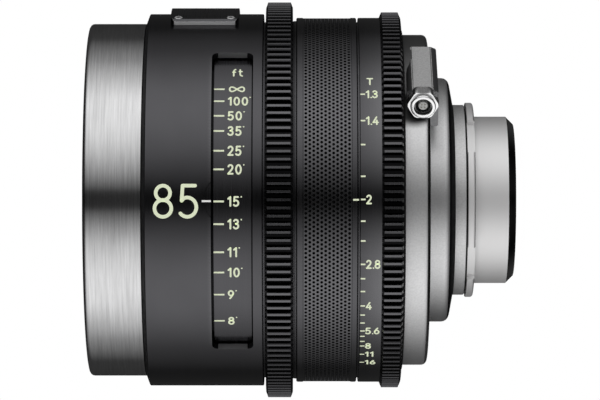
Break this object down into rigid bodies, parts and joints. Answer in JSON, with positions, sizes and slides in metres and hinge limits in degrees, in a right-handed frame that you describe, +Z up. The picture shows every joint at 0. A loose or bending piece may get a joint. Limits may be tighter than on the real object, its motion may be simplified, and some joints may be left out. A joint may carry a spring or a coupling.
{
  "type": "cinema prime lens",
  "caption": "Manual cinema lens with a brushed front ring, windowed distance scale, geared focus and iris rings, side data socket and stepped silver camera mount.",
  "frame": {"origin": "centre of the flange face that rests on the camera, on the optical axis", "axes": "+X along the optical axis towards the camera, +Z up towards the badge plate, -Y towards the side that the picture shows"},
  "size_m": [0.1367, 0.128, 0.128],
  "materials": {
    "brushed_silver": "brushed round the ring, bare metal",
    "satin_silver": "satin turned metal",
    "mount_steel": "smooth ground steel",
    "black_anodised": "satin black anodising",
    "scale_black": "matt black under the printed scale",
    "black_baffle": "dead matt black",
    "dark_steel": "blackened steel",
    "blade_steel": "blued spring steel",
    "plain_aluminium": "turned, bare",
    "bearing_brass": "turned brass",
    "chrome": "bright plated",
    "black_plastic": "moulded insulator",
    "pale_plastic": "moulded insulator",
    "contact_gold": "gold plated",
    "circuit_green": "flexible circuit",
    "coated_glass": "polished and coated"
  },
  "bodies": {
    "barrel": {"front_ring": "brushed_silver", "front_ring_screws": "dark_steel", "front_baffle_ring": "black_baffle", "barrel_cover": "black_anodised", "badge_plate": "black_anodised", "badge_screws": "dark_steel", "main_tube": "plain_aluminium", "focus_front_bearing": "bearing_brass", "focus_rear_bearing": "bearing_brass", "focus_thrust_ring": "bearing_brass", "focus_stop_block": "dark_steel", "front_cell": "black_baffle", "front_retaining_ring": "black_baffle", "front_element_1": "coated_glass", "front_element_2": "coated_glass", "front_element_3": "coated_glass", "middle_barrel": "black_anodised", "iris_base_plate": "dark_steel", "iris_bearing": "bearing_brass", "rear_cell": "black_baffle", "rear_element_1": "coated_glass", "rear_element_2": "coated_glass", "rear_element_3": "coated_glass", "rear_retaining_ring": "black_baffle", "stub_baffle": "black_baffle", "rear_barrel": "satin_silver", "rear_barrel_screws": "dark_steel", "sensor_board": "circuit_green", "socket_shell": "chrome", "socket_nut": "chrome", "socket_insert": "black_plastic", "contact_post": "pale_plastic", "socket_contacts": "contact_gold", "mount_step_ring": "satin_silver", "mount_flange": "mount_steel", "mount_screws": "mount_steel"},
    "focus_ring": {"focus_gear_ring": "black_anodised", "scale_drum": "scale_black", "focus_sleeve": "plain_aluminium", "focus_stop_pin": "dark_steel"},
    "focus_group": {"focus_cell": "black_baffle", "focus_element_1": "coated_glass", "focus_element_2": "coated_glass", "focus_element_3": "coated_glass", "focus_retaining_ring": "black_baffle", "focus_drive_pins": "dark_steel", "helicoid_carrier": "bearing_brass"},
    "iris_ring": {"iris_gear_ring": "black_anodised", "iris_drive_pin": "dark_steel", "iris_drive_ring": "plain_aluminium"},
    "blade_1": {"iris_blade_1": "blade_steel"},
    "blade_2": {"iris_blade_2": "blade_steel"},
    "blade_3": {"iris_blade_3": "blade_steel"},
    "blade_4": {"iris_blade_4": "blade_steel"},
    "blade_5": {"iris_blade_5": "blade_steel"},
    "blade_6": {"iris_blade_6": "blade_steel"},
    "blade_7": {"iris_blade_7": "blade_steel"},
    "blade_8": {"iris_blade_8": "blade_steel"},
    "blade_9": {"iris_blade_9": "blade_steel"}
  },
  "joints": [
    {"name": "focus_turn", "type": "hinge", "parent": "barrel", "child": "focus_ring", "pos_m": [-0.0624, 0, 0], "axis": [1, 0, 0], "range_deg": [-262.8, 37.2]},
    {"name": "focus_travel", "type": "slide", "parent": "barrel", "child": "focus_group", "axis": [1, 0, 0], "range_m": [-0.0079, 0.00115]},
    {"name": "iris_turn", "type": "hinge", "parent": "barrel", "child": "iris_ring", "pos_m": [-0.0304, 0, 0], "axis": [1, 0, 0], "range_deg": [-60.7, 34.2]},
    {"name": "blade_1_turn", "type": "hinge", "parent": "barrel", "child": "blade_1", "pos_m": [-0.0405, 0.037, 0], "axis": [1, 0, 0], "range_deg": [-25.2, 14.2]},
    {"name": "blade_2_turn", "type": "hinge", "parent": "barrel", "child": "blade_2", "pos_m": [-0.0405, 0.02834, 0.02378], "axis": [1, 0, 0], "range_deg": [-25.2, 14.2]},
    {"name": "blade_3_turn", "type": "hinge", "parent": "barrel", "child": "blade_3", "pos_m": [-0.0405, 0.00642, 0.03644], "axis": [1, 0, 0], "range_deg": [-25.2, 14.2]},
    {"name": "blade_4_turn", "type": "hinge", "parent": "barrel", "child": "blade_4", "pos_m": [-0.0405, -0.0185, 0.03204], "axis": [1, 0, 0], "range_deg": [-25.2, 14.2]},
    {"name": "blade_5_turn", "type": "hinge", "parent": "barrel", "child": "blade_5", "pos_m": [-0.0405, -0.03477, 0.01265], "axis": [1, 0, 0], "range_deg": [-25.2, 14.2]},
    {"name": "blade_6_turn", "type": "hinge", "parent": "barrel", "child": "blade_6", "pos_m": [-0.0405, -0.03477, -0.01265], "axis": [1, 0, 0], "range_deg": [-25.2, 14.2]},
    {"name": "blade_7_turn", "type": "hinge", "parent": "barrel", "child": "blade_7", "pos_m": [-0.0405, -0.0185, -0.03204], "axis": [1, 0, 0], "range_deg": [-25.2, 14.2]},
    {"name": "blade_8_turn", "type": "hinge", "parent": "barrel", "child": "blade_8", "pos_m": [-0.0405, 0.00642, -0.03644], "axis": [1, 0, 0], "range_deg": [-25.2, 14.2]},
    {"name": "blade_9_turn", "type": "hinge", "parent": "barrel", "child": "blade_9", "pos_m": [-0.0405, 0.02834, -0.02378], "axis": [1, 0, 0], "range_deg": [-25.2, 14.2]}
  ],
  "couplings": [
    {"joint": "focus_travel", "follows": "focus_turn", "m_per_rad": 0.0017189},
    {"joint": "blade_1_turn", "follows": "iris_turn", "ratio": 0.413},
    {"joint": "blade_2_turn", "follows": "iris_turn", "ratio": 0.413},
    {"joint": "blade_3_turn", "follows": "iris_turn", "ratio": 0.413},
    {"joint": "blade_4_turn", "follows": "iris_turn", "ratio": 0.413},
    {"joint": "blade_5_turn", "follows": "iris_turn", "ratio": 0.413},
    {"joint": "blade_6_turn", "follows": "iris_turn", "ratio": 0.413},
    {"joint": "blade_7_turn", "follows": "iris_turn", "ratio": 0.413},
    {"joint": "blade_8_turn", "follows": "iris_turn", "ratio": 0.413},
    {"joint": "blade_9_turn", "follows": "iris_turn", "ratio": 0.413}
  ]
}
